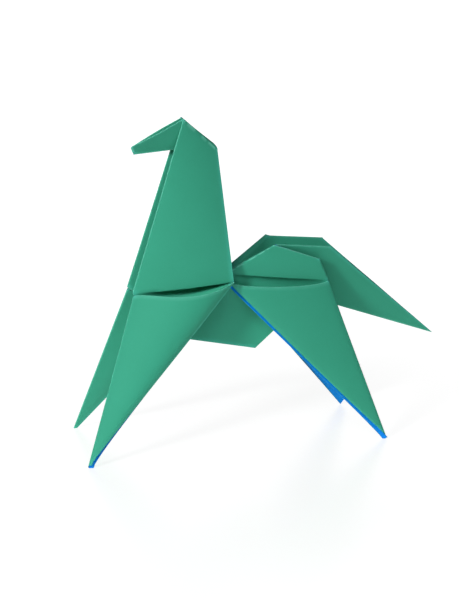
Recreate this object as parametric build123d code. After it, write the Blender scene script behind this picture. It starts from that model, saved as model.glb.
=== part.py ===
from build123d import *
import math
import os

# Standing horse folded from one square sheet of paper, cut twice to free the legs. Millimetres and degrees.
# The head points to -X and the tail to +X, the near side is -Y, and the feet stand on Z = 0.

# The sheet, and the room that each fold leaves between two layers
SHEET_SIDE = 150.0
PAPER = 0.12
LAYER_GAP = 0.25

# Distance of the layers from the middle plane at the chest, saddle, rump and head
CHEST_HALF = 2.6
SADDLE_HALF = 7.8
RUMP_HALF = 5.8
RUMP_TUCK_HALF = 4.1
RUMP_TOP_HALF = 5.9
HEAD_HALF = 1.1
NOSE_HALF = 0.5
TAIL_HALF = 0.3
SPINE_GAP = 0.8

# Heights: the chest and rump folds above the feet, and the saddle above those folds
FOLD_HEIGHT = 50.8
SADDLE_RISE = 2.6

# Head: where its crease crosses the front and the mane edge of the neck, and how much of the tip is tucked in
CHEEK_LENGTH = 56.4
MANE_LENGTH = 42.5
NOSE_TUCK = 7.2

# Rump and tail: crease angle, and how much of the edges stays outside the tucked corner
TAIL_CREASE = 37.1
RUMP_FORWARD = 1.4
CROUP_LENGTH = 18.3
BUTTOCK_LENGTH = 7.7

# Keel of the belly: share of its front and rear edge that is tucked in
KEEL_FRONT = 0.435
KEEL_REAR = 0.27

# Legs: angle between top edge and inner edge, lean and drop of each, and the bulge of the pleated top edge
LEG_ANGLE = 45.0
LEG_SPLAY = {"near_front": 17.0, "far_front": 16.0, "near_hind": 9.8, "far_hind": 5.0}
LEG_DROP = {"near_front": 2.0, "far_front": 2.2, "near_hind": -1.5, "far_hind": 2.0}
LEG_BOW = 3.0
LEG_SAG = 2.3
FOOT_GAP = 0.5
PLEAT_START = 0.03
BOW_STEPS = 7
FOOT_TRIM = 0.5

# Lengths that follow from folding the square into a bird base
HALF_DIAGONAL = SHEET_SIDE / math.sqrt(2)
RAW_EDGE = SHEET_SIDE / 2
FLAP = HALF_DIAGONAL - RAW_EDGE
SADDLE_HEIGHT = FOLD_HEIGHT + SADDLE_RISE
SPINE_HALF = LAYER_GAP
INNER_SPINE_HALF = LAYER_GAP / 3
FOLD_OVERRUN = PAPER * 0.9
FOLD_BITE = PAPER / 4
HEM_SHARE = 0.35
NEAR = -1
FAR = 1
FRONT = -1
HIND = 1


def mix(p, q, share):
    """Point a share of the way from p to q."""
    return p + (q - p) * share


def along(p, q, length):
    """Point a given length from p towards q."""
    return p + (q - p).normalized() * length


def set_off(p, side, half):
    """The same point of the profile, set at a distance from the middle plane on one side."""
    return Vector(p.X, side * half, p.Z)


def reflect(point, p, q):
    """Mirror image of a point across the line through p and q, seen from the side."""
    axis = Vector(q.X - p.X, 0, q.Z - p.Z).normalized()
    offset = Vector(point.X - p.X, 0, point.Z - p.Z)
    image = axis * (2 * offset.dot(axis)) - offset
    return Vector(p.X + image.X, 0, p.Z + image.Z)


def triangle(p, q, r):
    """Flat three-sided face, or nothing where two corners meet."""
    if (q - p).cross(r - p).length < 1e-6:
        return []
    return [Face(Wire.make_polygon([p, q, r], close=True))]


def quad(p, q, r, s):
    """Four-sided face made of two triangles."""
    return triangle(p, q, r) + triangle(p, r, s)


def panel(first, second):
    """Layer of paper ruled between two rows of points, given the thickness of the sheet."""
    last = len(first) - 1
    rows = []
    for i in range(last + 1):
        ahead = min(i + 1, last)
        behind = max(i - 1, 0)
        run = (first[ahead] - first[behind]) + (second[ahead] - second[behind])
        across = mix(second[behind], second[ahead], 0.5) - mix(first[behind], first[ahead], 0.5)
        lift = run.cross(across).normalized() * (PAPER / 2)
        rows.append((first[i] + lift, second[i] + lift, first[i] - lift, second[i] - lift))
    faces = []
    for i in range(last):
        a, b = rows[i], rows[i + 1]
        faces += quad(a[0], b[0], b[1], a[1])
        faces += quad(a[2], a[3], b[3], b[2])
        faces += quad(a[2], b[2], b[0], a[0])
        faces += quad(a[1], b[1], b[3], a[3])
    faces += quad(rows[0][0], rows[0][1], rows[0][3], rows[0][2])
    faces += quad(rows[last][1], rows[last][0], rows[last][2], rows[last][3])
    return Solid(Shell(faces)).clean()


def overrun(row):
    """Row of points run a little past both of its ends."""
    head = along(row[1], row[0], (row[1] - row[0]).length + FOLD_OVERRUN)
    foot = along(row[-2], row[-1], (row[-1] - row[-2]).length + FOLD_OVERRUN)
    return [head] + row[1:-1] + [foot]


def fold(first, second):
    """Bend that joins two layers along a crease, run a little past both ends and into both layers."""
    first = overrun(first)
    second = overrun(second)
    outer = [along(q, p, (p - q).length + FOLD_BITE) for p, q in zip(first, second)]
    inner = [along(p, q, (p - q).length + FOLD_BITE) for p, q in zip(first, second)]
    return panel(outer, inner)


def body_fold(side, end, layer):
    """End of the body fold at the chest or the rump, on a layer counted from the inside out."""
    reach = math.sqrt(FLAP**2 - SADDLE_RISE**2)
    half = CHEST_HALF if end == FRONT else RUMP_HALF
    return Vector(end * reach, side * (half + layer * LAYER_GAP), FOLD_HEIGHT)


def saddle(side, end):
    """Midpoint of a raw edge of the sheet, where the neck or rump meets a leg at the saddle."""
    if end == FRONT:
        return Vector(0, side * SADDLE_HALF, SADDLE_HEIGHT)
    return Vector(-RUMP_FORWARD, side * RUMP_TUCK_HALF, SADDLE_HEIGHT)


def belly_edge(side, layer):
    """Middle of the belly's top edge, where the cut between front and hind leg ends."""
    return mix(body_fold(side, FRONT, layer), body_fold(side, HIND, layer), 0.5)


def spine(side, end):
    """Saddle point of the front or the hind spine fold."""
    return Vector(end * SPINE_GAP / 2, side * SPINE_HALF, SADDLE_HEIGHT)


def keel(side, end, layer):
    """Hidden low point of the belly, the centre of the sheet."""
    return Vector(end * SPINE_GAP / 2, side * (SPINE_HALF + layer * LAYER_GAP), FOLD_HEIGHT - FLAP)


def low_edge(side, end, layer):
    """Lowest point of the belly that stays outside the tuck, on the front or the rear edge."""
    share = KEEL_FRONT if end == FRONT else KEEL_REAR
    return mix(keel(side, end, layer), body_fold(side, end, layer), share)


def low_spine(side, end):
    """Lowest point of the front or the hind spine outside the tuck."""
    share = KEEL_FRONT if end == FRONT else KEEL_REAR
    return mix(keel(side, end, 0), spine(side, end), share)


def neck_tip():
    """Corner of the sheet above the neck, before the head is folded."""
    lean = math.asin(SADDLE_RISE / FLAP)
    return Vector(-SPINE_GAP / 2, 0, SADDLE_HEIGHT) + Vector(-math.sin(lean), 0, math.cos(lean)) * RAW_EDGE


def head_crease(side):
    """Ends of the head crease on the front edge, on the spine and on the mane edge of the neck."""
    cheek = set_off(along(body_fold(side, FRONT, 0), neck_tip(), CHEEK_LENGTH), side, HEAD_HALF)
    nape = set_off(along(spine(side, FRONT), neck_tip(), MANE_LENGTH), side, SPINE_HALF)
    poll = along(saddle(side, FRONT), set_off(neck_tip(), side, HEAD_HALF / 2), MANE_LENGTH)
    return cheek, nape, poll


def tail_crease(side):
    """Ends of the tail crease at the saddle and at the rump's top corner, with the tip of the tail."""
    low = body_fold(side, HIND, 0)
    start = saddle(side, HIND)
    run = Vector(low.X - start.X, 0, low.Z - start.Z).normalized()
    rise = Vector(-run.Z, 0, run.X)
    crease = math.radians(TAIL_CREASE)
    length = FLAP * math.sin(math.radians(67.5)) / math.sin(math.radians(112.5) - crease)
    top = start + (run * math.cos(crease) + rise * math.sin(crease)) * length
    swing = 2 * crease - math.radians(90)
    tip = start + (run * math.cos(swing) + rise * math.sin(swing)) * RAW_EDGE
    return set_off(top, side, RUMP_TOP_HALF), set_off(tip, side, TAIL_HALF)


def rump_tuck(side):
    """Ends of the tucked rump corner: on the tail crease of both layers, on the rump edge and on the tail edge."""
    top, tip = tail_crease(side)
    start = saddle(side, HIND)
    outer_top = set_off(top, side, RUMP_TOP_HALF + LAYER_GAP)
    share = CROUP_LENGTH / (top - start).length
    croup = mix(spine(side, HIND), top, share)
    outer_croup = mix(start, outer_top, share)
    buttock = along(body_fold(side, HIND, 0), top, BUTTOCK_LENGTH)
    outer_buttock = along(body_fold(side, HIND, 3), outer_top, BUTTOCK_LENGTH)
    dock = along(top, tip, (top - body_fold(side, HIND, 0)).length - BUTTOCK_LENGTH)
    return croup, outer_croup, buttock, outer_buttock, dock


def pleat_start(side, end, edge):
    """Point of the pleat's valley close to the saddle, where the folded layers part."""
    return mix(saddle(side, end), pleat_valley(side, end, edge), PLEAT_START)


def pleat_valley(side, end, edge):
    """Low corner of the pleat behind a leg, in the plane of the neck or rump panel with the given front edge."""
    corner = saddle(side, end)
    low = body_fold(side, end, 3)
    run = (low - corner).normalized()
    rise = edge - low
    down = (run * rise.dot(run) - rise).normalized()
    half_turn = math.radians(LEG_ANGLE / 2)
    reach = 1 / (math.cos(half_turn) / FLAP + math.sin(half_turn) / RAW_EDGE)
    return corner + (run * math.cos(half_turn) + down * math.sin(half_turn)) * reach


def body(side):
    """Belly wall with the front and rear spine layers behind it, folded at its two slanting edges."""
    cheek, nape, poll = head_crease(side)
    croup, outer_croup, buttock, outer_buttock, dock = rump_tuck(side)
    wall = panel(
        [body_fold(side, FRONT, 1), body_fold(side, HIND, 1)],
        [low_edge(side, FRONT, 1), low_edge(side, HIND, 1)],
    )
    front_edge = [low_edge(side, FRONT, 0), body_fold(side, FRONT, 0), cheek]
    rear_edge = [low_edge(side, HIND, 0), body_fold(side, HIND, 0), buttock]
    front_layer = panel(front_edge, [low_spine(side, FRONT), spine(side, FRONT), nape])
    rear_layer = panel(rear_edge, [low_spine(side, HIND), spine(side, HIND), croup])
    folds = []
    for end, edge in ((FRONT, front_edge), (HIND, rear_edge)):
        folds.append(fold(edge[:2], [low_edge(side, end, 1), body_fold(side, end, 1)]))
    return [wall, front_layer, rear_layer] + folds


def neck(side):
    """Outer layer of one side of the neck with the pleat below it, folded to the inner layer at the front."""
    cheek, nape, poll = head_crease(side)
    lift = crease_lift(cheek, nape)
    outer_cheek = set_off(cheek, side, HEAD_HALF + LAYER_GAP)
    chest = body_fold(side, FRONT, 3)
    corner = saddle(side, FRONT)
    valley = pleat_valley(side, FRONT, outer_cheek)
    start = pleat_start(side, FRONT, outer_cheek)
    outer = panel([outer_cheek + lift, outer_cheek, chest, valley], [poll + lift, poll, corner, start])
    front = fold([body_fold(side, FRONT, 0), cheek], [chest, outer_cheek])
    return [outer, front]


def crease_lift(p, q):
    """Step of one layer gap away from the body, square to a crease seen from the side."""
    run = Vector(q.X - p.X, 0, q.Z - p.Z).normalized()
    lift = Vector(-run.Z, 0, run.X)
    return lift * (LAYER_GAP if lift.Z > 0 else -LAYER_GAP)


def tongue(side, root, root_low, end, end_low, outer_root, outer_low, root_half, end_half):
    """One side of the head or tail, folded out between the body layers, with its hem and the roof over the crease."""
    top = [set_off(root, side, root_half), set_off(end, side, end_half)]
    low = [set_off(root_low, side, INNER_SPINE_HALF), set_off(end_low, side, INNER_SPINE_HALF)]
    hem_low = [mix(p, q, HEM_SHARE) for p, q in zip(low, top)]
    hem_low = [set_off(p, side, max(abs(p.Y) - LAYER_GAP, PAPER / 2)) for p in hem_low]
    hem_top = [set_off(p, side, max(abs(p.Y) - LAYER_GAP, PAPER / 2)) for p in top]
    lift = crease_lift(root, root_low)
    roof_in = [hem_top[0] + lift, hem_low[0] + lift]
    roof_out = [outer_root + lift, outer_low + lift]
    face = panel(top, low)
    hem = panel([hem_top[0] + lift] + hem_top, [hem_low[0] + lift] + hem_low)
    hem_fold = fold(top, hem_top)
    roof = fold(roof_out, roof_in)
    crease = fold([root, root_low], [top[0], low[0]])
    return [face, hem, hem_fold, roof, crease]


def head(side):
    """One side of the head."""
    cheek, nape, poll = head_crease(side)
    nose = reflect(neck_tip(), cheek, nape)
    brow = along(nose, set_off(cheek, side, 0), NOSE_TUCK)
    chin = along(nose, set_off(nape, side, 0), NOSE_TUCK)
    outer_cheek = set_off(cheek, side, HEAD_HALF + LAYER_GAP)
    return tongue(side, cheek, nape, brow, chin, outer_cheek, poll, HEAD_HALF - LAYER_GAP, NOSE_HALF)


def rump(side):
    """Outer layer of one side of the rump with the pleat below it, folded to the inner layer at the rear."""
    croup, outer_croup, buttock, outer_buttock, dock = rump_tuck(side)
    low = body_fold(side, HIND, 3)
    corner = saddle(side, HIND)
    valley = pleat_valley(side, HIND, outer_buttock)
    lift = crease_lift(croup, spine(side, HIND))
    start = pleat_start(side, HIND, outer_buttock)
    outer = panel([outer_buttock, low, valley], [outer_croup, corner, start])
    rim = panel([outer_croup + lift, corner + lift], [outer_croup, corner])
    rear = fold([body_fold(side, HIND, 0), buttock], [low, outer_buttock])
    return [outer, rim, rear]


def tail(side):
    """One side of the tail."""
    top, tip = tail_crease(side)
    croup, outer_croup, buttock, outer_buttock, dock = rump_tuck(side)
    share = abs(croup.Y) - LAYER_GAP
    start = spine(side, HIND)
    pieces = tongue(side, croup, start, dock, tip, outer_croup, saddle(side, HIND), share, abs(dock.Y) - LAYER_GAP)
    return pieces


def spine_folds():
    """Bends that join the near and the far half of the sheet along the spine."""
    folds = []
    near, far = {}, {}
    for side, rows in ((NEAR, near), (FAR, far)):
        cheek, nape, poll = head_crease(side)
        nose = reflect(neck_tip(), cheek, nape)
        chin = along(nose, set_off(nape, side, 0), NOSE_TUCK)
        top, tip = tail_crease(side)
        rows["front"] = [low_spine(side, FRONT), spine(side, FRONT), nape]
        rows["hind"] = [low_spine(side, HIND), spine(side, HIND)]
        rows["chin"] = [set_off(nape, side, INNER_SPINE_HALF), set_off(chin, side, INNER_SPINE_HALF)]
        rows["dock"] = [set_off(spine(side, HIND), side, INNER_SPINE_HALF), set_off(tip, side, INNER_SPINE_HALF)]
    for name in near:
        folds.append(fold(near[name], far[name]))
    return folds


def at_floor(p, q):
    """Point where the edge from p to q passes just through the floor."""
    return mix(p, q, (p.Z + FOOT_TRIM) / (p.Z - q.Z))


def leg_points(name, side, end):
    """Corners of one leg: its bowed top edge, the ends of its foot and its outward direction."""
    fold_end = body_fold(side, end, 5)
    corner = saddle(side, end) + Vector(0, side * 2 * LAYER_GAP, 0)
    drop = math.radians(LEG_DROP[name])
    splay = math.radians(LEG_SPLAY[name])
    turn = math.radians(LEG_ANGLE) + drop
    run = (fold_end - corner).normalized()
    plumb = (Vector(0, 0, -1) + run * run.Z).normalized()
    level = run.cross(plumb).normalized()
    level = level if level.Y * side > 0 else level * -1
    down = plumb * math.cos(splay) + level * math.sin(splay)
    out = level * math.cos(splay) - plumb * math.sin(splay)
    shoulder = corner + (run * math.cos(drop) + down * math.sin(drop)) * (fold_end - corner).length
    tip = corner + (run * math.cos(turn) + down * math.sin(turn)) * RAW_EDGE
    top = []
    for i in range(BOW_STEPS + 1):
        share = i / BOW_STEPS
        swell = 4 * share * (1 - share)
        top.append(mix(shoulder, corner, share) + out * (LEG_BOW * swell) + down * (LEG_SAG * swell))
    return {"top": top, "toe": at_floor(shoulder, tip), "heel": at_floor(corner, tip), "out": out}


def leg(name, side, end):
    """One leg: two layers folded together along the outer edge, hung from the body by a pleat."""
    at = leg_points(name, side, end)
    out, top = at["out"], at["top"]
    shares = [i / BOW_STEPS for i in range(BOW_STEPS + 1)]
    if end == FRONT:
        edge = set_off(head_crease(side)[0], side, HEAD_HALF + LAYER_GAP)
    else:
        edge = rump_tuck(side)[3]
    valley = pleat_valley(side, end, edge)
    start = pleat_start(side, end, edge)
    corner = saddle(side, end)
    step = Vector(0, side * LAYER_GAP, 0)
    foot = [mix(at["toe"], at["heel"], share) for share in shares]
    inner_shoulder = top[0] - out * (3 * LAYER_GAP)
    inner_toe = at["toe"] - out * FOOT_GAP
    inner_heel = at["heel"] - out * FOOT_GAP
    pleat_top = [point - out * LAYER_GAP for point in top[:-1]] + [corner + step]
    pleat_low = [mix(valley + step, start + step, share) for share in shares]
    outer = panel(top, foot)
    inner = panel([inner_shoulder, belly_edge(side, 2)], [inner_toe, inner_heel])
    pleat = panel(pleat_top, pleat_low)
    edge_fold = fold([top[0], at["toe"]], [inner_shoulder, inner_toe])
    top_fold = fold(top, pleat_top)
    valley_fold = fold([valley, start], [valley + step, start + step])
    belly_fold = fold([body_fold(side, end, 1), belly_edge(side, 1)], [inner_shoulder, belly_edge(side, 2)])
    return [outer, inner, pleat, edge_fold, top_fold, valley_fold, belly_fold]


def join(layers):
    """One solid of layers that are fused one after another, each checked to have added its share."""
    sheet = layers[0]
    for layer in layers[1:]:
        joined = sheet.fuse(layer)
        if joined.volume < sheet.volume + layer.volume * 0.1:
            raise ValueError("a layer of the sheet did not join")
        sheet = joined
    return sheet


groups = []
for side, place in ((NEAR, "near"), (FAR, "far")):
    groups.append(join(body(side) + neck(side) + head(side)))
    groups.append(join(rump(side) + tail(side)))
    groups.append(join(leg(place + "_front", side, FRONT)))
    groups.append(join(leg(place + "_hind", side, HIND)))
groups += spine_folds()
folded_sheet = join(groups)
floor = Pos(0, 0, -SHEET_SIDE / 30) * Box(3 * SHEET_SIDE, 3 * SHEET_SIDE, SHEET_SIDE / 15)
folded_sheet = folded_sheet - floor
middle = folded_sheet.bounding_box().center()
folded_sheet = folded_sheet.moved(Location((-middle.X, -middle.Y, 0)))
folded_sheet.label = "folded_sheet"

os.makedirs("parts", exist_ok=True)
export_step(folded_sheet, "parts/folded_sheet.step")
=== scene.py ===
"""Looks of a standing horse folded from one square of paper, green outside and blue on the reverse.

Metres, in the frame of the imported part: the head points to -X, the near side is -Y, the feet stand on Z = 0.
"""
import heapq
import logging
import math
from dataclasses import dataclass, field
from enum import Enum

import bmesh
import bpy
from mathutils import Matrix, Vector


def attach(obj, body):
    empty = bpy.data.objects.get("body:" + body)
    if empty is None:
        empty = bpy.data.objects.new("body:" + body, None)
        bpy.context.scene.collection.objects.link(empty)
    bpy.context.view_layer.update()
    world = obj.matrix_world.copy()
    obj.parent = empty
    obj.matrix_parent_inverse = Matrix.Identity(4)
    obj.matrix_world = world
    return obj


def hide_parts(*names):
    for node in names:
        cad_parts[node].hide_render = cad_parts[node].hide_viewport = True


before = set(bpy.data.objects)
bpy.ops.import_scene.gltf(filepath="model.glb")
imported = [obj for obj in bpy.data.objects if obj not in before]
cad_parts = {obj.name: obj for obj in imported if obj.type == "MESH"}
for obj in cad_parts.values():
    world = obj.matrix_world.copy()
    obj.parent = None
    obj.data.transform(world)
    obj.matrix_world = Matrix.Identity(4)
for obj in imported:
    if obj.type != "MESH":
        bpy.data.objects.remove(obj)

log = logging.getLogger("paper_horse")

MM = 0.001
NODE = "folded_sheet"
# Point marks along the folds and the cut edges. The materials paint light from them: a highlight along each
# fold, and on the green face a lighter rim along the cut edges, a painted glow of light through the paper.
CREASE = "crease"
RIM = "rim"
FLOAT = "NodeSocketFloat"

# Faces along each straight stretch of a layer and round each bend
STEPS = 20
BEND_STEPS = 6

# How near two points have to be to join, on the middle surface and on the thick sheet, and the least edge
WELD = 0.003 * MM
SKIN_WELD = WELD / 3
LEAST_EDGE = WELD / 10

# Points along a stretch draw together towards its ends, where the creases are
END_PULL = 0.6

# How sharply a swell stands out, and after how many times its reach a mark on the paper has gone
SWELL_POWER = 3.2
FADE_END = 3

Row = list[Vector]
Colour = tuple[float, float, float]
Socket = bpy.types.NodeSocket
Tree = bpy.types.NodeTree
Feed = Socket | float | tuple[float, ...]
Feeds = dict[str | int, Feed]


class Side(Enum):
    """Half of the horse, by the sign of Y."""

    NEAR = -1
    FAR = 1

    def step(self, reach: float) -> Vector:
        """Step away from the middle plane."""
        return Vector((0, self.value * reach, 0))


class End(Enum):
    """Front or hind half of the body, by the sign of X."""

    FRONT = -1
    HIND = 1


class Layer(Enum):
    """Layer of the body, by its number of layer gaps from the innermost one."""

    SPINE = 0
    BELLY = 1
    LEG_INSIDE = 2
    PANEL = 3
    LEG_OUTSIDE = 5


def step_shares() -> list[float]:
    """Shares of a stretch at which its points lie, from 0 to 1."""
    even = [i / STEPS for i in range(STEPS + 1)]
    return [END_PULL * (0.5 - 0.5 * math.cos(math.pi * t)) + (1 - END_PULL) * t for t in even]


SHARES = step_shares()


def along(p: Vector, q: Vector, length: float) -> Vector:
    """Point a given length from p towards q."""
    return p + (q - p).normalized() * length


def set_off(p: Vector, side: Side, half: float) -> Vector:
    """The same point of the profile, set at a distance from the middle plane on one side."""
    return Vector((p.x, side.value * half, p.z))


def flat_run(p: Vector, q: Vector) -> Vector:
    """Unit direction from p to q, seen from the side."""
    return Vector((q.x - p.x, 0, q.z - p.z)).normalized()


def quarter_turn(run: Vector) -> Vector:
    """Direction square to another one, seen from the side."""
    return Vector((-run.z, 0, run.x))


def reflect(point: Vector, p: Vector, q: Vector) -> Vector:
    """Mirror image of a point across the line through p and q, seen from the side."""
    axis = flat_run(p, q)
    offset = Vector((point.x - p.x, 0, point.z - p.z))
    image = axis * (2 * offset.dot(axis)) - offset
    return Vector((p.x + image.x, 0, p.z + image.z))


def square_out(p: Vector, q: Vector, inside: Vector) -> Vector:
    """Unit direction square to the line p to q, seen from the side, that points away from an inside point."""
    out = quarter_turn(flat_run(p, q))
    return -out if out.dot(inside - p) > 0 else out


def spread(p: Vector, q: Vector) -> Row:
    """Row of points from p to q."""
    return [p.lerp(q, share) for share in SHARES]


def path(*corners: Vector) -> Row:
    """Row of points through several corners."""
    row = [corners[0].copy()]
    for p, q in zip(corners, corners[1:]):
        row += spread(p, q)[1:]
    return row


def arched(row: Row, reach: Vector) -> Row:
    """The row moved by a reach in its middle, and less towards its ends."""
    return [p + reach * math.sin(math.pi * share) for p, share in zip(row, SHARES)]


def hump(share: float, rise: float, fall: float) -> float:
    """Height at a share of a curve that starts at 0, peaks at 1 and ends at 0, or at 1 if fall is 0."""
    peak = rise / (rise + fall)
    return share**rise * (1 - share) ** fall / (peak**rise * (1 - peak) ** fall)


def put(name: str, data: bpy.types.ID) -> bpy.types.Object:
    """New object of the scene that holds a mesh, a lamp or a camera."""
    thing = bpy.data.objects.new(name, data)
    bpy.context.scene.collection.objects.link(thing)
    return thing


@dataclass(frozen=True)
class Swell:
    """Soft bulge of a layer that fades out at its edges.

    Attributes:
        reach: How far, and which way, the layer moves where the bulge is deepest.
        peak: Share of the way from the first row to the second where that is.
        lean: How far it leans towards the end of the rows, 1 for not at all.
    """

    reach: Vector
    peak: float = 0.5
    lean: float = 1.0

    def at(self, u: float, v: float) -> Vector:
        """Shift of the layer at a share u along its rows and v from the first row to the second."""
        depth = hump(v, SWELL_POWER * self.peak, SWELL_POWER * (1 - self.peak))
        return self.reach * (math.sin(math.pi * u**self.lean) * depth)


@dataclass(frozen=True)
class Trim:
    """Shift of a layer that grows towards the end of its rows, so that its cut edge falls back.

    Attributes:
        reach: How far, and which way, the end of a row moves where the shift is greatest.
        rise: How steeply the shift grows from the first row.
        fall: How steeply it goes down to the second row, 0 for not at all.
    """

    reach: Vector
    rise: float
    fall: float = 0.0

    def at(self, u: float, v: float) -> Vector:
        """Shift of the layer at a share u along its rows and v from the first row to the second."""
        return self.reach * (u * hump(v, self.rise, self.fall))


@dataclass(frozen=True)
class FoldPlan:
    """Sizes of the fold, and the points of the folded sheet that follow from them.

    The points are in the fold's own frame, with X = 0 at the saddle. The middle of the standing horse lies at
    the stand point of that frame.
    """

    sheet_side: float = 150 * MM
    layer_gap: float = 0.25 * MM
    chest_half: float = 2.6 * MM
    chest_back: float = 0.5 * MM
    saddle_half: float = 7.8 * MM
    rump_half: float = 5.8 * MM
    rump_tuck_half: float = 4.1 * MM
    rump_top_half: float = 5.9 * MM
    head_half: float = 1.35 * MM
    poll_half: float = 1.2 * MM
    poll_drop: float = 1.4 * MM
    nose_half: float = 0.8 * MM
    tail_half: float = 0.3 * MM
    spine_gap: float = 0.8 * MM
    fold_height: float = 51.8 * MM
    saddle_rise: float = 2.6 * MM
    cheek_length: float = 56.4 * MM
    mane_length: float = 42.5 * MM
    nose_tuck: float = 7.2 * MM
    brow_slim: float = 0.25
    chin_slim: float = 0.02
    flap_corner: float = math.radians(67.5)
    tail_crease: float = math.radians(37.0)
    rump_forward: float = 1.4 * MM
    croup_length: float = 18.3 * MM
    buttock_length: float = 7.7 * MM
    croup_in: float = 0.6 * MM
    rump_lift: float = 1.5 * MM
    rump_drop: float = 0.9 * MM
    mane_back: float = 0.25 * MM
    keel_front: float = 0.435
    keel_rear: float = 0.27
    leg_angle: float = math.radians(45)
    pleat_start: float = 0.03
    neck_bow: float = 1.0 * MM
    rump_bow: float = 0.3 * MM
    chest_dip: float = 1.6 * MM
    flank_dip: float = 2.0 * MM
    stand: Vector = field(default_factory=lambda: Vector((10.77 * MM, -0.42 * MM, 0)))

    @property
    def raw_edge(self) -> float:
        """Length of a raw edge, half of the sheet's side."""
        return self.sheet_side / 2

    @property
    def flap(self) -> float:
        """Width of a bird base flap, the half diagonal of the sheet less the raw edge."""
        return self.sheet_side / math.sqrt(2) - self.raw_edge

    @property
    def saddle_height(self) -> float:
        """Height of the saddle above the floor."""
        return self.fold_height + self.saddle_rise

    @property
    def inner_spine_half(self) -> float:
        """Distance of the head's and the tail's spine edge from the middle plane."""
        return self.layer_gap / 3

    def body_fold(self, side: Side, end: End, layer: Layer) -> Vector:
        """End of the body fold at the chest or rump, on one layer."""
        reach = math.sqrt(self.flap**2 - self.saddle_rise**2)
        reach -= self.chest_back if (side, end) == (Side.NEAR, End.FRONT) else 0
        half = self.chest_half if end is End.FRONT else self.rump_half
        half += layer.value * self.layer_gap
        return Vector((end.value * reach, side.value * half, self.fold_height))

    def saddle(self, side: Side, end: End) -> Vector:
        """Midpoint of a raw edge, where the neck or rump meets a leg."""
        if end is End.FRONT:
            return Vector((self.mane_back, side.value * self.saddle_half, self.saddle_height))
        return Vector((-self.rump_forward, side.value * self.rump_tuck_half, self.saddle_height))

    def panel_corner(self, side: Side, end: End) -> Vector:
        """Corner of the neck or rump panel at the saddle; the rump stands higher on the near side."""
        corner = self.saddle(side, end)
        if end is End.HIND:
            near = side is Side.NEAR
            corner += Vector((0, 0, self.rump_lift)) if near else Vector((0, -1, -1)) * self.rump_drop
        return corner

    def fold_line(self, side: Side, end: End) -> Row:
        """Lower edge of the neck or rump panel, bowed outwards a little between chest or rump and saddle."""
        row = spread(self.body_fold(side, end, Layer.PANEL), self.panel_corner(side, end))
        bow = self.neck_bow if end is End.FRONT else self.rump_bow
        return arched(row, side.step(bow))

    def belly_edge(self, side: Side, layer: Layer) -> Vector:
        """Middle of the belly's top edge, where the cut between front and hind leg ends."""
        return self.body_fold(side, End.FRONT, layer).lerp(self.body_fold(side, End.HIND, layer), 0.5)

    def belly_row(self, side: Side, end: End, layer: Layer) -> Row:
        """Half of the belly's top edge, from chest or rump to the middle, dipped inwards behind the leg."""
        row = spread(self.body_fold(side, end, layer), self.belly_edge(side, layer))
        dip = self.chest_dip if end is End.FRONT else self.flank_dip
        return arched(row, side.step(-dip))

    def spine(self, side: Side, end: End) -> Vector:
        """Saddle point of the front or hind spine fold."""
        return Vector((end.value * self.spine_gap / 2, side.value * self.layer_gap, self.saddle_height))

    def keel(self, side: Side, end: End, layer: Layer) -> Vector:
        """Hidden low point of the belly, the centre of the sheet."""
        half = (1 + layer.value) * self.layer_gap
        return Vector((end.value * self.spine_gap / 2, side.value * half, self.fold_height - self.flap))

    def low_edge(self, side: Side, end: End, layer: Layer) -> Vector:
        """Lowest point of the belly outside the tuck, on its front or rear edge."""
        tucked = self.keel_front if end is End.FRONT else self.keel_rear
        return self.keel(side, end, layer).lerp(self.body_fold(side, end, layer), tucked)

    def low_spine(self, side: Side, end: End) -> Vector:
        """Lowest point of the front or hind spine outside the tuck."""
        front, hind = (self.low_edge(side, each, Layer.SPINE) for each in End)
        share = (self.spine(side, end).x - front.x) / (hind.x - front.x)
        return set_off(front.lerp(hind, share), side, self.layer_gap)

    def neck_tip(self) -> Vector:
        """Corner of the sheet above the neck, before the head is folded."""
        lean = math.asin(self.saddle_rise / self.flap)
        foot = Vector((-self.spine_gap / 2, 0, self.saddle_height))
        return foot + Vector((-math.sin(lean), 0, math.cos(lean))) * self.raw_edge

    def head_crease(self, side: Side) -> tuple[Vector, Vector, Vector]:
        """Ends of the head crease on the front edge, on the spine and on the mane edge."""
        tip = self.neck_tip()
        cheek = along(self.body_fold(side, End.FRONT, Layer.SPINE), tip, self.cheek_length)
        cheek = set_off(cheek, side, self.head_half)
        nape = set_off(along(self.spine(side, End.FRONT), tip, self.mane_length), side, self.layer_gap)
        length = self.mane_length - self.poll_drop
        poll = along(self.saddle(side, End.FRONT), set_off(tip, side, self.head_half / 2), length)
        poll.x += self.mane_back / 2
        return cheek, nape, set_off(poll, side, self.poll_half)

    def nose(self, side: Side) -> tuple[Vector, Vector]:
        """Upper and lower end of the blunt nose, where the tip of the head is tucked in."""
        cheek, nape, _ = self.head_crease(side)
        tip = reflect(self.neck_tip(), cheek, nape)
        brow = along(tip, set_off(cheek, side, 0), self.nose_tuck)
        chin = along(tip, set_off(nape, side, 0), self.nose_tuck)
        return brow.lerp(chin, self.brow_slim), chin.lerp(brow, self.chin_slim)

    def tail_line(self, side: Side) -> tuple[Vector, Vector]:
        """Rump's top corner on the tail crease, and the tip of the tail."""
        low = self.body_fold(side, End.HIND, Layer.SPINE)
        start = self.saddle(side, End.HIND)
        run = flat_run(start, low)
        rise = quarter_turn(run)
        crease = self.tail_crease
        length = self.flap * math.sin(self.flap_corner) / math.sin(self.flap_corner + crease)
        top = start + (run * math.cos(crease) + rise * math.sin(crease)) * length
        swing = 2 * crease - math.pi / 2
        tip = start + (run * math.cos(swing) + rise * math.sin(swing)) * self.raw_edge
        return set_off(top, side, self.rump_top_half), set_off(tip, side, self.tail_half)

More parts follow.
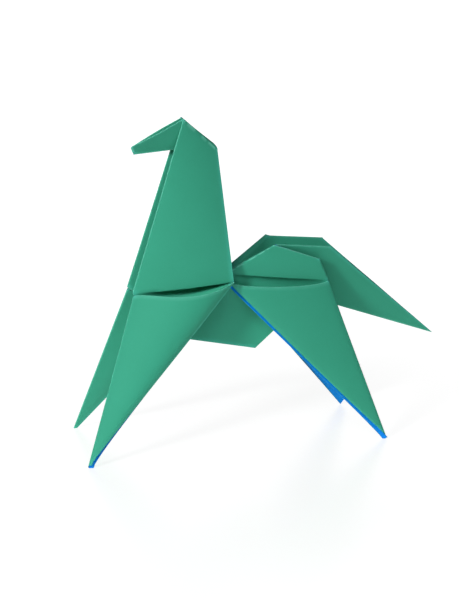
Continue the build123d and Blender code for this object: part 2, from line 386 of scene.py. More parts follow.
    def rump_tuck(self, side: Side) -> tuple[Vector, Vector, Vector, Vector, Vector]:
        """Ends of the tucked rump corner: inner and outer croup, inner and outer buttock, and the dock."""
        top, tip = self.tail_line(side)
        start = self.saddle(side, End.HIND)
        outer_top = set_off(top, side, self.rump_top_half + self.layer_gap)
        share = self.croup_length / (top - start).length
        outer_croup = start.lerp(outer_top, share)
        croup = self.spine(side, End.HIND).lerp(top, share)
        croup = set_off(croup, side, abs(outer_croup.y) - self.croup_in)
        inner, outer = (self.body_fold(side, End.HIND, layer) for layer in (Layer.SPINE, Layer.PANEL))
        buttock = along(inner, top, self.buttock_length)
        outer_buttock = along(outer, outer_top, self.buttock_length)
        rest = (top - inner).length - self.buttock_length
        return croup, outer_croup, buttock, outer_buttock, along(top, tip, rest)

    def panel_edge(self, side: Side, end: End) -> Vector:
        """Upper end of the outer edge of the neck or rump panel."""
        if end is End.FRONT:
            return set_off(self.head_crease(side)[0], side, self.head_half + self.layer_gap)
        return self.rump_tuck(side)[3]

    def pleat_valley(self, side: Side, end: End) -> Row:
        """Valley of the pleat behind a leg, in the plane of the neck or rump panel."""
        corner = self.saddle(side, end)
        low = self.body_fold(side, end, Layer.PANEL)
        run = (low - corner).normalized()
        rise = self.panel_edge(side, end) - low
        down = (run * rise.dot(run) - rise).normalized()
        half_turn = self.leg_angle / 2
        reach = 1 / (math.cos(half_turn) / self.flap + math.sin(half_turn) / self.raw_edge)
        valley = corner + (run * math.cos(half_turn) + down * math.sin(half_turn)) * reach
        return spread(valley, corner.lerp(valley, self.pleat_start))


class SheetMesh:
    """Middle surface of the folded sheet, gathered layer by layer into one mesh."""

    def __init__(self) -> None:
        """Start with an empty mesh."""
        self.bm = bmesh.new()
        self.crease = self.bm.verts.layers.float.new(CREASE)
        self.rim = self.bm.verts.layers.float.new(RIM)

    def _grid(self, rows: list[Row], facing: float, lead: int, highlit_row: int | None = None) -> None:
        """Add faces between rows of points.

        Args:
            rows: Rows with the same number of points each.
            facing: Sign of Y towards which the green side looks.
            lead: Number of leading bands of faces that this is judged on.
            highlit_row: Number of the row along which a fold gets a painted highlight, if any.
        """
        turn = 0.0
        for low, high in zip(rows[:lead], rows[1 : lead + 1]):
            for i in range(len(low) - 1):
                turn += (high[i + 1] - low[i]).cross(high[i] - low[i + 1]).y
        verts = [[self.bm.verts.new(p) for p in row] for row in rows]
        if highlit_row is not None:
            for vert in verts[highlit_row]:
                vert[self.crease] = 1.0
        for low, high in zip(verts, verts[1:]):
            for i in range(len(low) - 1):
                corners = [low[i], low[i + 1], high[i + 1], high[i]]
                self.bm.faces.new(corners if turn * facing > 0 else corners[::-1])

    def layer(self, first: Row, second: Row, facing: float, *swells: Swell | Trim) -> None:
        """Add a layer ruled between two rows of points.

        Args:
            first: Points of one edge.
            second: As many points of the opposite edge.
            facing: Sign of Y towards which the green side looks.
            swells: Soft bulges and trims of the layer.
        """
        last = len(first) - 1
        rows = []
        for v in SHARES:
            row = [p.lerp(q, v) for p, q in zip(first, second)]
            for swell in swells:
                row = [p + swell.at(i / last, v) for i, p in enumerate(row)]
            rows.append(row)
        self._grid(rows, facing, STEPS)

    def bend(
        self, first: Row, second: Row, away: Vector, facing: float, roundness: float = 1.0,
        highlit_row: int = BEND_STEPS // 2,
    ) -> None:
        """Add the rounded bend that joins two layers along a fold.

        Args:
            first: Points of the fold on the first layer.
            second: The same points on the second layer.
            away: Direction in which the bend stands out.
            facing: Sign of Y towards which the first layer's green side looks.
            roundness: Height of the bend as a share of half of the gap between the layers.
            highlit_row: Number of the row across the bend that gets the painted highlight.
        """
        rows = []
        for k in range(BEND_STEPS + 1):
            turn = math.pi * k / BEND_STEPS
            row = []
            for p, q in zip(first, second):
                half = (p - q) / 2
                swing = away * (half.length * roundness * math.sin(turn))
                row.append((p + q) / 2 + half * math.cos(turn) + swing)
            rows.append(row)
        self._grid(rows, facing, 1, highlit_row)

    def finish(self, name: str, highlight_reach: float, rim_reach: float) -> bpy.types.Object:
        """Weld the layers into one sheet and measure how near each point is to a fold and to a cut edge.

        Args:
            name: Name of the new object.
            highlight_reach: Distance from a fold over which its painted highlight fades.
            rim_reach: Distance from a cut edge over which the painted light along it fades.

        Returns:
            The object that holds the sheet.
        """
        bmesh.ops.remove_doubles(self.bm, verts=self.bm.verts, dist=WELD)
        bmesh.ops.dissolve_degenerate(self.bm, edges=self.bm.edges, dist=LEAST_EDGE)
        for edge in self.bm.edges:
            for vert in edge.verts:
                vert[self.rim] = max(vert[self.rim], 1.0 if edge.is_boundary else 0.0)
        self._fade(self.crease, highlight_reach)
        self._fade(self.rim, rim_reach)
        for face in self.bm.faces:
            face.smooth = True
        mesh = bpy.data.meshes.new(name)
        self.bm.to_mesh(mesh)
        self.bm.free()
        return put(name, mesh)

    def _fade(self, mark: bmesh.types.BMLayerItem, reach: float) -> None:
        """Let a mark of 1 on some points fade into the layers, measured along the paper.

        Args:
            mark: Point layer that holds the mark.
            reach: Distance over which it fades.
        """
        self.bm.verts.index_update()
        self.bm.verts.ensure_lookup_table()
        far = FADE_END * reach
        best = {vert.index: 0.0 for vert in self.bm.verts if vert[mark] > 0.5}
        queue = [(0.0, index) for index in best]
        heapq.heapify(queue)
        while queue:
            distance, index = heapq.heappop(queue)
            if distance > best[index]:
                continue
            vert = self.bm.verts[index]
            for edge in vert.link_edges:
                other = edge.other_vert(vert)
                reached = distance + edge.calc_length()
                if reached < best.get(other.index, far):
                    best[other.index] = reached
                    heapq.heappush(queue, (reached, other.index))
        for vert in self.bm.verts:
            vert[mark] = math.exp(-((best.get(vert.index, far) / reach) ** 2))


class Part:
    """A part of the horse, which adds its layers to the sheet."""

    def build(self, plan: FoldPlan, sheet: SheetMesh) -> None:
        """Add the part.

        Args:
            plan: Points of the fold.
            sheet: Mesh that takes the layers.
        """
        raise NotImplementedError


@dataclass(frozen=True)
class Trunk(Part):
    """Belly walls and spine layers of both sides, joined along the spine."""

    belly_swell: float = 0.5 * MM
    belly_peak: float = 0.35
    tail_away: tuple[float, float, float] = (-0.5, 0, -0.85)

    def build(self, plan: FoldPlan, sheet: SheetMesh) -> None:
        """Add both sides and the spine folds."""
        for side in Side:
            self._side(plan, sheet, side)
        self._spines(plan, sheet)

    def _side(self, plan: FoldPlan, sheet: SheetMesh, side: Side) -> None:
        """Add one belly wall, and the front and the rear spine layer behind it."""
        out = side.value
        cheek, nape, _ = plan.head_crease(side)
        croup, _, buttock, _, _ = plan.rump_tuck(side)
        front, rear = (plan.belly_row(side, end, Layer.BELLY) for end in End)
        top = front + rear[-2::-1]
        low_front, low_rear = (plan.low_edge(side, end, Layer.BELLY) for end in End)
        bottom = path(low_front, low_front.lerp(low_rear, 0.5), low_rear)
        sheet.layer(top, bottom, out, Swell(side.step(-self.belly_swell), self.belly_peak))
        tops = {End.FRONT: (cheek, nape), End.HIND: (buttock, croup)}
        for end, (edge_top, spine_top) in tops.items():
            wall, edge = (
                [plan.low_edge(side, end, layer), plan.body_fold(side, end, layer)]
                for layer in (Layer.BELLY, Layer.SPINE)
            )
            spine = [plan.low_spine(side, end), plan.spine(side, end), spine_top]
            sheet.layer(path(*edge, edge_top), path(*spine), -out)
            sheet.bend(spread(*wall), spread(*edge), square_out(*edge, spine[1]), out)

    def _spines(self, plan: FoldPlan, sheet: SheetMesh) -> None:
        """Add the folds that join the near and the far half along the spine, the head and the tail."""
        rows: dict[Side, list[Row]] = {}
        for side in Side:
            _, nape, _ = plan.head_crease(side)
            front, dock = (plan.spine(side, end) for end in End)
            low_front, low_hind = (plan.low_spine(side, end) for end in End)
            ends = (nape, plan.nose(side)[1], dock, plan.tail_line(side)[1])
            head, chin, tail, tip = (set_off(p, side, plan.inner_spine_half) for p in ends)
            spines = [path(low_front, front, nape), spread(low_hind, dock)]
            rows[side] = [*spines, spread(head, chin), spread(tail, tip)]
        aways = [Vector((1, 0, 0)), Vector((-1, 0, 0)), Vector((0, 0, -1)), Vector(self.tail_away)]
        facings = [1, 1, -1, -1]
        for near, far, away, facing in zip(rows[Side.NEAR], rows[Side.FAR], aways, facings):
            sheet.bend(near, far, away, facing)


@dataclass(frozen=True)
class Tongue:
    """Head or tail, folded out between the body layers, with a hem along its top and a roof at its root."""

    hem_share: float = 0.08
    hem_step: float = 0.25 * MM
    least_half: float = 0.06 * MM
    tip_half: float = 0.02 * MM
    roof_rise: float = 0.25 * MM
    roof_roundness: float = 0.3
    part: float = 0.0
    tip_tuck: float = 0.0
    tip_step: float = 0.32 * MM

    def build(
        self, sheet: SheetMesh, side: Side, root: Row, outer: Row, face_top: Row, face_low: Row
    ) -> None:
        """Add one side of the head or tail.

        Args:
            sheet: Mesh that takes the layers.
            side: Side of the horse.
            root: Ends of the crease on the inner body layer, top and spine.
            outer: Ends of the crease on the outer body layer, top and saddle.
            face_top: Ends of the top edge of the face.
            face_low: Ends of its lower edge, on the spine.
        """
        out = side.value
        lift = self.lift(root)
        top_row = arched(spread(*face_top), side.step(self.part))
        hem_row = [self._in(p, side) for p in top_row]
        hem_low = [self._in(p.lerp(q, self.hem_share), side) for p, q in zip(face_low, face_top)]
        sheet.layer(top_row, spread(*face_low), out)
        sheet.layer(hem_row, spread(*hem_low), -out)
        top_away = square_out(face_top[0], face_top[1], face_low[0])
        sheet.bend(top_row, hem_row, top_away, out)
        sheet.bend(spread(*root), spread(face_top[0], face_low[0]), lift.normalized(), -out)
        roof = spread(hem_row[0], hem_low[0])
        rim = spread(outer[0] + lift, outer[1] + lift)
        sheet.bend(rim, roof, lift.normalized(), out, self.roof_roundness, 0)
        if self.tip_tuck:
            self._tuck_tip(sheet, side, [face_top[1], face_low[1]], (face_low[1] - face_low[0]).normalized())

    def _tuck_tip(self, sheet: SheetMesh, side: Side, end: Row, ahead: Vector) -> None:
        """Fold the paper in at a blunt tip."""
        inner = [set_off(p, side, max(abs(p.y) - self.tip_step, self.tip_half)) for p in end]
        tucked = [p - ahead * self.tip_tuck for p in inner]
        sheet.bend(spread(*end), spread(*inner), ahead, side.value)
        sheet.layer(spread(*inner), spread(*tucked), -side.value)

    def lift(self, root: Row) -> Vector:
        """Step away from the body, square to the crease, that leaves room for the layers below the roof."""
        up = quarter_turn(flat_run(*root))
        return up * (self.roof_rise if up.z > 0 else -self.roof_rise)

    def _in(self, p: Vector, side: Side) -> Vector:
        """Point one step nearer to the middle plane."""
        return set_off(p, side, max(abs(p.y) - self.hem_step, self.least_half))


@dataclass(frozen=True)
class Neck(Part):
    """Outer layers of the neck with the head folded forward out of it."""

    swell: float = 0.5 * MM
    peak: float = 0.55
    head: Tongue = Tongue(part=0.7 * MM, tip_tuck=3.0 * MM)

    def build(self, plan: FoldPlan, sheet: SheetMesh) -> None:
        """Add both sides of the neck and head."""
        for side in Side:
            out = side.value
            cheek, nape, poll = plan.head_crease(side)
            outer_cheek = plan.panel_edge(side, End.FRONT)
            lift = self.head.lift([cheek, nape])
            top = spread(outer_cheek + lift, poll + lift)
            bottom = plan.fold_line(side, End.FRONT)
            sheet.layer(top, bottom, out, Swell(side.step(self.swell), self.peak))
            front = spread(outer_cheek + lift, bottom[0])
            inner = spread(cheek, plan.body_fold(side, End.FRONT, Layer.SPINE))
            sheet.bend(front, inner, square_out(cheek, inner[-1], poll), out)
            brow, chin = plan.nose(side)
            brow_root = set_off(cheek, side, plan.head_half - plan.layer_gap)
            face_top = [brow_root, set_off(brow, side, plan.nose_half)]
            face_low = [set_off(p, side, plan.inner_spine_half) for p in (nape, chin)]
            self.head.build(sheet, side, [cheek, nape], [outer_cheek, poll], face_top, face_low)


@dataclass(frozen=True)
class Rump(Part):
    """Outer layers of the rump with the tail folded back out of it and the top corner tucked in."""

    swell: float = 0.3 * MM
    tuck_step: float = 0.2 * MM
    tuck_lean: float = 1.4 * MM
    tuck_end: float = 0.02
    tail: Tongue = Tongue()

    def build(self, plan: FoldPlan, sheet: SheetMesh) -> None:
        """Add both sides of the rump and tail."""
        for side in Side:
            out = side.value
            croup, outer_croup, buttock, outer_buttock, dock = plan.rump_tuck(side)
            top, tip = plan.tail_line(side)
            start = plan.spine(side, End.HIND)
            lift = self.tail.lift([croup, start])
            bottom = plan.fold_line(side, End.HIND)
            corner = bottom[-1]
            crown = spread(outer_buttock, outer_croup + lift)
            sheet.layer(bottom, crown, out, Swell(side.step(self.swell)))
            rear = spread(bottom[0], outer_buttock)
            inner = spread(plan.body_fold(side, End.HIND, Layer.SPINE), buttock)
            sheet.bend(rear, inner, square_out(bottom[0], outer_buttock, corner), out)
            self._tuck(sheet, side, crown, top, corner)
            face_top = [self._tail_point(plan, p, side) for p in (croup, dock)]
            face_low = [set_off(p, side, plan.inner_spine_half) for p in (start, tip)]
            self.tail.build(sheet, side, [croup, start], [outer_croup, corner - lift], face_top, face_low)

    def _tail_point(self, plan: FoldPlan, p: Vector, side: Side) -> Vector:
        """Point of the tail's top edge, one layer inside the body."""
        return set_off(p, side, abs(p.y) - plan.layer_gap)

    def _tuck(self, sheet: SheetMesh, side: Side, crown: Row, top: Vector, inside: Vector) -> None:
        """Fold the rump's top corner in behind its outer layer."""
        folded = [p - side.step(self.tuck_step) for p in crown]
        apex = reflect(top, crown[0], crown[-1])
        apex = set_off(apex, side, abs(crown[0].y) - self.tuck_lean)
        sheet.bend(crown, folded, square_out(crown[0], crown[-1], inside), side.value)
        sheet.layer(folded, [apex.lerp(p, self.tuck_end) for p in folded], -side.value)


@dataclass(frozen=True)
class TopEdge:
    """Top edge of a leg, with how steeply its bow and sag grow from the shoulder and end at the hip.

    The hang is how far the shoulder lies below the panel above.
    """

    bow: float
    sag: float
    rise: float
    fall: float
    hang: float = 0.0


@dataclass(frozen=True)
class Pleat:
    """Pleat that a leg hangs from.

    Attributes:
        depth: How far its outer layer is drawn in.
        peak: Share of the way down to the valley where that is most.
        lean: How far that place leans towards the saddle, 1 for not at all.
        gusset: Share of the pleat's outer end that a small bend closes.
    """

    depth: float
    peak: float = 0.25
    lean: float = 1.0
    gusset: float = 0.12


@dataclass(frozen=True)
class CutEdge:
    """Cut edge of a leg, from the hip to the foot.

    Attributes:
        lap_hip: How far the inner layer stands out past the outer one at the hip.
        lap_foot: How far it does so at the foot.
        foot_trim: How far the outer layer falls back at the foot.
        foot_lift: Height above the floor at which the outer layer ends.
        toe_lift: Height of the toe above the heel.
        set_back: How far the inner layer falls back between hip and foot.
        hollow: How far both layers fall back there.

    Each rise and fall is how steeply such a shift grows from the hip and goes down to the foot.
    """

    lap_hip: float
    lap_foot: float
    foot_trim: float = 0.0
    foot_lift: float = 0.0
    toe_lift: float = 0.0
    set_back: float = 0.0
    hollow: float = 0.0
    hollow_rise: float = 2.0
    hollow_fall: float = 0.5
    trim_rise: float = 6.0
    back_rise: float = 1.0
    back_fall: float = 0.3

    def trims(self, across: Vector) -> tuple[Trim, Trim, Trim]:
        """Shifts of the outer layer, of the inner layer and of both, against the direction across the leg."""
        foot = Trim(-across * self.foot_trim, self.trim_rise)
        back = Trim(-across * self.set_back, self.back_rise, self.back_fall)
        return foot, back, Trim(-across * self.hollow, self.hollow_rise, self.hollow_fall)


@dataclass(frozen=True)
class Leg(Part):
    """One leg: two layers folded together at the outer edge, hung from the body by a pleat.

    The splay is how far it stands out and the drop is how far it is turned down, both in degrees.
    """

    side: Side
    end: End
    top: TopEdge
    cut: CutEdge
    pleat: Pleat
    splay: float
    drop: float
    foot_gap: float = 0.5 * MM

    def build(self, plan: FoldPlan, sheet: SheetMesh) -> None:
        """Add the pleat and both layers of the leg."""
        shoulder, hip, run, down, out = self._plane(plan)
        turn = plan.leg_angle + math.radians(self.drop)
        tip = hip + (run * math.cos(turn) + down * math.sin(turn)) * plan.raw_edge
        toe = self._at_height(shoulder, tip, self.cut.foot_lift + self.cut.toe_lift)
        heel = self._at_height(hip, tip, self.cut.foot_lift)
        top = self._top_row(shoulder, hip, down, out)
        self._pleat(plan, sheet, top, down, out)
        self._layers(plan, sheet, top, toe, heel, out)

    def _top_row(self, shoulder: Vector, hip: Vector, down: Vector, out: Vector) -> Row:
        """Top edge of the leg, which sags and bows outwards between shoulder and hip."""
        edge = self.top
        reach = out * edge.bow + down * edge.sag
        row = spread(shoulder, hip)
        return [p + reach * hump(share, edge.rise, edge.fall) for p, share in zip(row, SHARES)]

    def _pleat(self, plan: FoldPlan, sheet: SheetMesh, top: Row, down: Vector, out: Vector) -> None:
        """Add the pleat: down behind the leg from the panel above, and back up to the leg's top edge."""
        outward = self.side.value
        step = self.side.step(plan.layer_gap)
        crest = plan.fold_line(self.side, self.end)
        valley = plan.pleat_valley(self.side, self.end)
        valley_up = [p + step for p in valley]
        rim = [p - out * plan.layer_gap for p in top[:-1]] + [plan.saddle(self.side, self.end) + step]
        inward = self.side.step(-self.pleat.depth)
        sheet.layer(crest, valley, outward, Swell(inward, self.pleat.peak, self.pleat.lean))
        sheet.layer(valley_up, rim, -outward)
        sheet.bend(valley, valley_up, (valley[0] - crest[0]).normalized(), outward)
        sheet.bend(rim, top, -down, -outward)
        low = (valley[0] - crest[0]) * self.pleat.gusset
        inner = plan.body_fold(self.side, self.end, Layer.SPINE)
        ahead = Vector((self.end.value, 0, 0))
        sheet.bend(spread(crest[0], crest[0] + low), spread(inner, inner + low), ahead, outward)

    def _layers(
        self, plan: FoldPlan, sheet: SheetMesh, top: Row, toe: Vector, heel: Vector, out: Vector
    ) -> None:
        """Add the outer and the inner layer of the leg, and the folds at its edge and at the belly."""
        outward = self.side.value
        shoulder = top[0]
        across = (top[-1] - shoulder).normalized()
        inner_shoulder = shoulder - out * (Layer.PANEL.value * plan.layer_gap)
        foot_step = out * self.foot_gap
        inner_toe = self._level(toe - foot_step)
        inner_heel = self._level(heel - foot_step + across * self.cut.lap_foot)
        belly = plan.belly_row(self.side, self.end, Layer.LEG_INSIDE)
        shift = inner_shoulder - belly[0]
        lap = across * self.cut.lap_hip
        inner_top = [p + shift * (1 - t) + lap * t for p, t in zip(belly, SHARES)]
        trim, back, hollow = self.cut.trims(across)
        sheet.layer(top, spread(toe, heel), outward, trim, hollow)
        sheet.layer(inner_top, spread(inner_toe, inner_heel), -outward, back, hollow)
        sheet.bend(spread(shoulder, toe), spread(inner_shoulder, inner_toe), -across, outward)
        sheet.bend(plan.belly_row(self.side, self.end, Layer.BELLY), inner_top, Vector((0, 0, 1)), outward)

    def _plane(self, plan: FoldPlan) -> tuple[Vector, Vector, Vector, Vector, Vector]:
        """Shoulder and hip of the leg, and its directions along the body, down and out."""
        splay, drop = math.radians(self.splay), math.radians(self.drop)
        fold_end = plan.body_fold(self.side, self.end, Layer.LEG_OUTSIDE)
        hip = plan.saddle(self.side, self.end) + self.side.step(2 * plan.layer_gap)
        run = (fold_end - hip).normalized()
        plumb = (Vector((0, 0, -1)) + run * run.z).normalized()
        level = run.cross(plumb).normalized()
        level = level if level.y * self.side.value > 0 else -level
        down = plumb * math.cos(splay) + level * math.sin(splay)
        out = level * math.cos(splay) - plumb * math.sin(splay)
        turned = run * math.cos(drop) + down * math.sin(drop)
        shoulder = hip + turned * (fold_end - hip).length + down * self.top.hang
        return shoulder, hip, run, down, out

    def _at_height(self, p: Vector, q: Vector, height: float) -> Vector:
        """Point where the edge from p to q comes down to a height above the floor."""
        return p.lerp(q, (p.z - height) / (p.z - q.z))

    def _level(self, p: Vector) -> Vector:
        """The point moved to the height at which the inner layer ends."""
        return Vector((p.x, p.y, self.cut.toe_lift))


FRONT_TOP = TopEdge(bow=3.0 * MM, sag=2.6 * MM, rise=1.5, fall=0.95)
HIND_TOP = TopEdge(bow=1.8 * MM, sag=2.2 * MM, rise=0.6, fall=0.35, hang=1.2 * MM)
FRONT_PLEAT = Pleat(depth=3.5 * MM, peak=0.3, lean=1.5)
NEAR_HIND_PLEAT = Pleat(depth=1.4 * MM)
FAR_HIND_PLEAT = Pleat(depth=0.2 * MM, lean=0.6)
NEAR_FRONT_CUT = CutEdge(-0.6 * MM, -0.4 * MM, foot_trim=1.1 * MM, foot_lift=1.2 * MM, hollow=1.1 * MM)
FAR_FRONT_CUT = CutEdge(0.0, -0.5 * MM, foot_trim=0.5 * MM)
NEAR_HIND_CUT = CutEdge(0.9 * MM, 0.3 * MM, foot_trim=1.3 * MM, foot_lift=0.7 * MM, hollow=0.5 * MM)
FAR_HIND_CUT = CutEdge(
    -1.5 * MM, -1.2 * MM, toe_lift=2.0 * MM, set_back=2.4 * MM,
    hollow=0.8 * MM, hollow_rise=0.3, hollow_fall=0.8,
)
LEGS = (
    Leg(Side.NEAR, End.FRONT, FRONT_TOP, NEAR_FRONT_CUT, FRONT_PLEAT, splay=17.0, drop=1.2),
    Leg(Side.FAR, End.FRONT, FRONT_TOP, FAR_FRONT_CUT, FRONT_PLEAT, splay=15.2, drop=1.9),
    Leg(Side.NEAR, End.HIND, HIND_TOP, NEAR_HIND_CUT, NEAR_HIND_PLEAT, splay=11.0, drop=-1.75),
    Leg(Side.FAR, End.HIND, HIND_TOP, FAR_HIND_CUT, FAR_HIND_PLEAT, splay=5.0, drop=1.6),
)


class NodeBench:
    """Small helper that places and links nodes in a tree."""

    def __init__(self, tree: Tree) -> None:
        """Work on a tree, which is emptied first."""
        self.tree = tree
        self.tree.nodes.clear()

    def add(self, kind: str, feeds: Feeds | None = None, **settings: object) -> bpy.types.Node:
        """Add a node.

        Args:
            kind: Blender's name of the node type.
            feeds: What its inputs get, by their name or number: an output to link, or a plain value.
            settings: Properties of the node.

        Returns:
            The new node.
        """
        node = self.tree.nodes.new(kind)
        for name, value in settings.items():
            setattr(node, name, value)
        for key, value in (feeds or {}).items():
            self.feed(value, node.inputs[key])
        return node

    def feed(self, value: Feed, target: Socket) -> None:
        """Link an output to an input, or set the input to a plain value."""
        if isinstance(value, Socket):
            self.tree.links.new(value, target)
        else:
            target.default_value = value

    def math(self, operation: str, *values: Feed) -> Socket:
        """Add a math node whose inputs are sockets or plain numbers, and return its output."""
        return self.add("ShaderNodeMath", dict(enumerate(values)), operation=operation).outputs[0]

    def choose(self, share: Socket, off: float, on: float) -> Socket:
        """Output that is one number where a share is 0 and another where it is 1."""
        return self.math("MULTIPLY_ADD", share, on - off, off)

    def mix(self, share: Socket, first: Feed, second: Feed) -> Socket:
        """Add a colour mix whose colours are sockets or plain colours, and return its output."""
        low, high = ((*c, 1) if isinstance(c, tuple) else c for c in (first, second))
        return self.add("ShaderNodeMix", {"Factor": share, 6: low, 7: high}, data_type="RGBA").outputs[2]


def new_group(name: str, kind: str, inputs: dict[str, str], outputs: dict[str, str]) -> Tree:
    """New node group of a kind of tree, with the socket type of each named input and output."""
    tree = bpy.data.node_groups.new(name, kind)
    for way, sockets in (("INPUT", inputs), ("OUTPUT", outputs)):
        for label, socket in sockets.items():
            tree.interface.new_socket(name=label, in_out=way, socket_type=socket)
    return tree


class PaperGrain:
    """Shader group of the fibres and the cloudy tone of uncoated paper."""

    NAME = "paper_grain"
    INPUTS = ("Fibre Scale", "Cloud Scale")
    OUTPUTS = ("Fibre", "Cloud", "Height")
    FIBRE_TURN = (0.3, 0.5, 0.2)
    FIBRE_STRETCH = (1.0, 1.0, 0.45)
    FIBRE_DETAIL = 4.0
    FIBRE_ROUGHNESS = 0.65
    CLOUD_DETAIL = 3.0
    HEIGHT_SHARE = 0.5

    def build(self) -> Tree:
        """Build the group once.

        Returns:
            The group, with a tone and a height that change over the sheet.
        """
        inputs, outputs = (dict.fromkeys(names, FLOAT) for names in (self.INPUTS, self.OUTPUTS))
        tree = new_group(self.NAME, "ShaderNodeTree", inputs, outputs)
        bench = NodeBench(tree)
        entry = bench.add("NodeGroupInput").outputs
        place = bench.add("ShaderNodeTexCoord").outputs["Object"]
        turned = {"Vector": place, "Rotation": self.FIBRE_TURN, "Scale": self.FIBRE_STRETCH}
        fine = {"Scale": entry["Fibre Scale"], "Detail": self.FIBRE_DETAIL, "Roughness": self.FIBRE_ROUGHNESS}
        fine["Vector"] = bench.add("ShaderNodeMapping", turned).outputs["Vector"]
        fibre = bench.add("ShaderNodeTexNoise", fine).outputs["Fac"]
        broad = {"Vector": place, "Scale": entry["Cloud Scale"], "Detail": self.CLOUD_DETAIL}
        cloud = bench.add("ShaderNodeTexNoise", broad).outputs["Fac"]
        height = bench.math("MULTIPLY", fibre, self.HEIGHT_SHARE)
        bench.add("NodeGroupOutput", {"Fibre": fibre, "Cloud": cloud, "Height": height})
        return tree


class PaintedHighlights:
    """Shader group of the painted highlight along the folds and the painted light along the cut edges."""

    NAME = "painted_highlights"
    INPUTS = ("Break Scale", "Amount")
    OUTPUTS = ("Mask", "Rim")
    BREAK_DETAIL = 3.0
    BREAK_SHARE = 1.2
    BREAK_BASE = 0.5

    def build(self) -> Tree:
        """Build the group once.

        Returns:
            The group, with a mask of the folds that is broken up along them, and a mask of the cut edges.
        """
        inputs, outputs = (dict.fromkeys(names, FLOAT) for names in (self.INPUTS, self.OUTPUTS))
        tree = new_group(self.NAME, "ShaderNodeTree", inputs, outputs)
        bench = NodeBench(tree)
        entry = bench.add("NodeGroupInput").outputs
        place = bench.add("ShaderNodeTexCoord").outputs["Object"]
        patches = {"Vector": place, "Scale": entry["Break Scale"], "Detail": self.BREAK_DETAIL}
        broken = bench.add("ShaderNodeTexNoise", patches).outputs["Fac"]
        broken = bench.math("MULTIPLY_ADD", broken, self.BREAK_SHARE, self.BREAK_BASE)
        marks = (bench.add("ShaderNodeAttribute", attribute_name=name) for name in (CREASE, RIM))
        crease, rim = (mark.outputs["Fac"] for mark in marks)
        # Painted highlight along the folds, broken up in patches
        highlit = bench.math("MULTIPLY", crease, broken)
        masks = (bench.math("MULTIPLY", mask, entry["Amount"]) for mask in (highlit, rim))
        bench.add("NodeGroupOutput", dict(zip(self.OUTPUTS, masks)))
        return tree


@dataclass(frozen=True)
class PaperFinish:
    """Finish of one face of the sheet, or of its cut edge."""

    name: str
    colour: Colour
    deep: Colour
    # Colour of the painted highlight along the folds
    highlit: Colour
    # Colour along the cut edges; on the green face it is lighter, a painted glow of light through the paper
    rim: Colour
    # How strongly the painted highlight along the folds and the painted light along the cut edges show
    wear: float
    roughness: float
    fibre_scale: float = 2600.0
    cloud_scale: float = 90.0
    break_scale: float = 500.0
    fibre_tone: float = 0.6
    cloud_tone: float = 0.5
    base_tone: float = -0.05
    fibre_roughness: float = 0.1
    specular: float = 0.2
    bump: float = 0.12
    bump_depth: float = 0.05 * MM

    def build(self, grain: Tree, wear: Tree) -> bpy.types.Material:
        """Make the material.

        Args:
            grain: Shader group of the paper's grain.
            highlight: Shader group of the painted highlight along the folds and the painted light along the
                cut edges.

        Returns:
            The material.
        """
        material = bpy.data.materials.new(self.name)
        material.use_nodes = True
        bench = NodeBench(material.node_tree)
        scales = {"Fibre Scale": self.fibre_scale, "Cloud Scale": self.cloud_scale}
        paper = bench.add("ShaderNodeGroup", scales, node_tree=grain).outputs
        amounts = {"Break Scale": self.break_scale, "Amount": self.wear}
        painted_light = bench.add("ShaderNodeGroup", amounts, node_tree=wear).outputs
        tone = bench.math("MULTIPLY_ADD", paper["Fibre"], self.fibre_tone, self.base_tone)
        tone = bench.math("MULTIPLY_ADD", paper["Cloud"], self.cloud_tone, tone)
        base = bench.mix(tone, self.deep, self.colour)
        # Painted light: a lighter rim along the cut edges, then a highlight along the folds
        base = bench.mix(painted_light["Rim"], base, self.rim)
        base = bench.mix(painted_light["Mask"], base, self.highlit)
        rough = bench.math("MULTIPLY_ADD", paper["Fibre"], self.fibre_roughness, self.roughness)
        relief = {"Strength": self.bump, "Distance": self.bump_depth, "Height": paper["Height"]}
        normal = bench.add("ShaderNodeBump", relief).outputs["Normal"]
        look = {"Base Color": base, "Roughness": rough, "Normal": normal, "Specular IOR Level": self.specular}
        shader = bench.add("ShaderNodeBsdfPrincipled", look)
        bench.add("ShaderNodeOutputMaterial", {"Surface": shader.outputs["BSDF"]})
        return material


# Each face gets a lighter painted highlight along its folds; the green face also gets a lighter rim along its
# cut edges, painted light through the paper.
GREEN_FACE = PaperFinish(
    "paper_green", colour=(0.04, 0.365, 0.235), deep=(0.032, 0.315, 0.195),
    highlit=(0.15, 0.6, 0.45), rim=(0.055, 0.46, 0.34), wear=0.75, roughness=0.62,
)
BLUE_FACE = PaperFinish(
    "paper_blue", colour=(0.0, 0.3, 0.88), deep=(0.0, 0.24, 0.78),
    highlit=(0.08, 0.4, 0.85), rim=(0.0, 0.26, 0.8), wear=0.4, roughness=0.6,
)
CUT_EDGE = PaperFinish(
    "paper_cut_edge", colour=(0.12, 0.42, 0.36), deep=(0.08, 0.34, 0.3),
    highlit=(0.3, 0.6, 0.52), rim=(0.12, 0.42, 0.36), wear=0.2, roughness=0.8,
)


